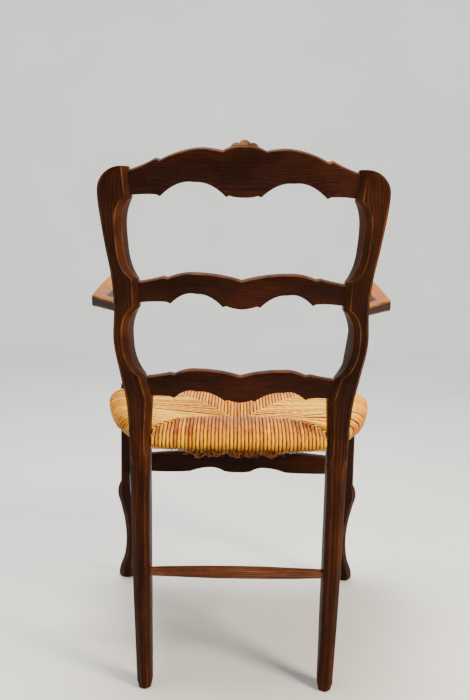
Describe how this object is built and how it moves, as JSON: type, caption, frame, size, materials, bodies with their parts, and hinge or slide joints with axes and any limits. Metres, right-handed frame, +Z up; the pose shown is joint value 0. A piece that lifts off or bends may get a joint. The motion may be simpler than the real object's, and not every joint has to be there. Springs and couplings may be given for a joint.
{
  "type": "dining chair",
  "caption": "Ladder-back dining armchair in stained wood, with serpentine rear posts, scalloped slats, cabriole front legs, elbowed arms and a woven rush seat.",
  "frame": {"origin": "on the floor, under the middle of the chair's width and depth", "axes": "+Z up, the front of the chair faces -Y, +X is the sitter's left"},
  "size_m": [0.5716, 0.5758, 0.9699],
  "materials": {
    "walnut_stained_wood": "satin varnish over dark walnut stain",
    "worn_arm_wood": "worn satin varnish, honey brown",
    "bare_rail_wood": "unfinished, hidden in the rush",
    "peg_wood": "stained end grain",
    "rush": "twisted rush, dry satin",
    "rush_stuffing": "loose dry rush"
  },
  "bodies": {
    "root": {"rear_post_left": "walnut_stained_wood", "rear_post_right": "walnut_stained_wood", "crest_rail": "walnut_stained_wood", "upper_slat": "walnut_stained_wood", "lower_slat": "walnut_stained_wood", "front_leg_left": "walnut_stained_wood", "front_leg_right": "walnut_stained_wood", "front_apron": "walnut_stained_wood", "front_seat_rail": "bare_rail_wood", "rear_seat_rail": "bare_rail_wood", "side_seat_rail_left": "bare_rail_wood", "side_seat_rail_right": "bare_rail_wood", "rush_seat": "rush", "seat_stuffing": "rush_stuffing", "arm_left": "worn_arm_wood", "arm_right": "worn_arm_wood", "rear_stretcher": "walnut_stained_wood", "side_stretcher_left": "walnut_stained_wood", "side_stretcher_right": "walnut_stained_wood", "crest_pegs": "peg_wood", "slat_pegs": "peg_wood", "apron_pegs": "peg_wood", "arm_pegs": "peg_wood"}
  },
  "joints": []
}
